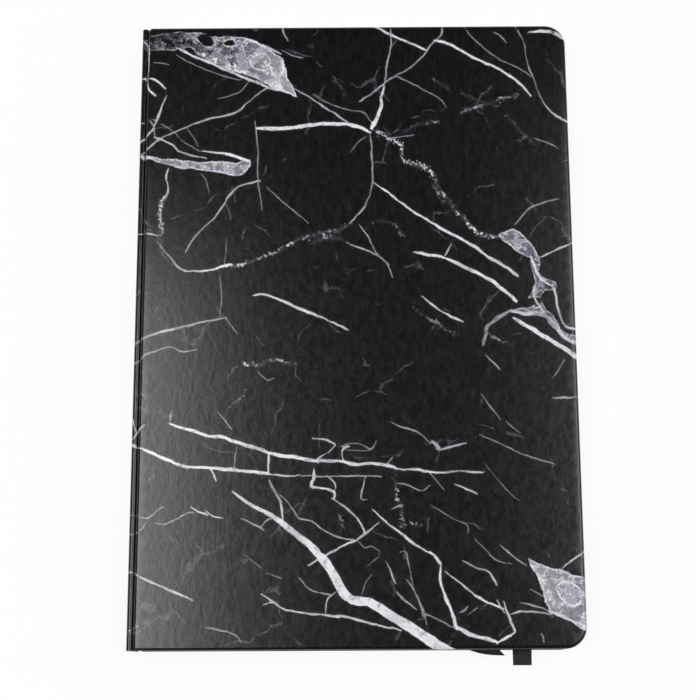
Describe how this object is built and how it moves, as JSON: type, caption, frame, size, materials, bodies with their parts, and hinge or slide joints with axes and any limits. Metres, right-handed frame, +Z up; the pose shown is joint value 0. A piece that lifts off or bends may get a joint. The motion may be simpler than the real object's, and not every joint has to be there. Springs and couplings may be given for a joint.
{
  "type": "casebound notebook",
  "caption": "Hardcover notebook with a black marble cover, rounded fore-edge corners, covers that open at the spine and ribbon markers at the tail.",
  "frame": {"origin": "centre of the back cover's underside, where the closed notebook rests", "axes": "+Z up through the closed notebook, +X from the spine to the fore-edge, +Y from tail to head"},
  "size_m": [0.145, 0.2149, 0.0152],
  "materials": {
    "cover_paper": "satin laminate",
    "marble_veins": "satin laminate",
    "greyboard": "matte",
    "endpaper": "matte",
    "leaves": "matte",
    "gauze": "matte",
    "ribbon": "satin"
  },
  "bodies": {
    "book_block": {"page_block": "leaves", "front_flyleaf": "endpaper", "back_flyleaf": "endpaper", "spine_board": "greyboard", "spine_wrap": "cover_paper", "spine_lining": "gauze", "ribbon_marker": "ribbon", "second_ribbon_marker": "ribbon"},
    "front_cover": {"front_board": "greyboard", "front_cover_veins": "marble_veins", "front_cover_wrap": "cover_paper", "front_pastedown": "endpaper"},
    "back_cover": {"back_board": "greyboard", "back_cover_veins": "marble_veins", "back_cover_wrap": "cover_paper", "back_pastedown": "endpaper"}
  },
  "joints": [
    {"name": "front_cover_hinge", "type": "hinge", "parent": "book_block", "child": "front_cover", "pos_m": [-0.0714, 0, 0.0128], "axis": [0, -1, 0], "range_deg": [0, 179]},
    {"name": "back_cover_hinge", "type": "hinge", "parent": "book_block", "child": "back_cover", "pos_m": [-0.0714, 0, 0.0024], "axis": [0, 1, 0], "range_deg": [0, 179]}
  ]
}
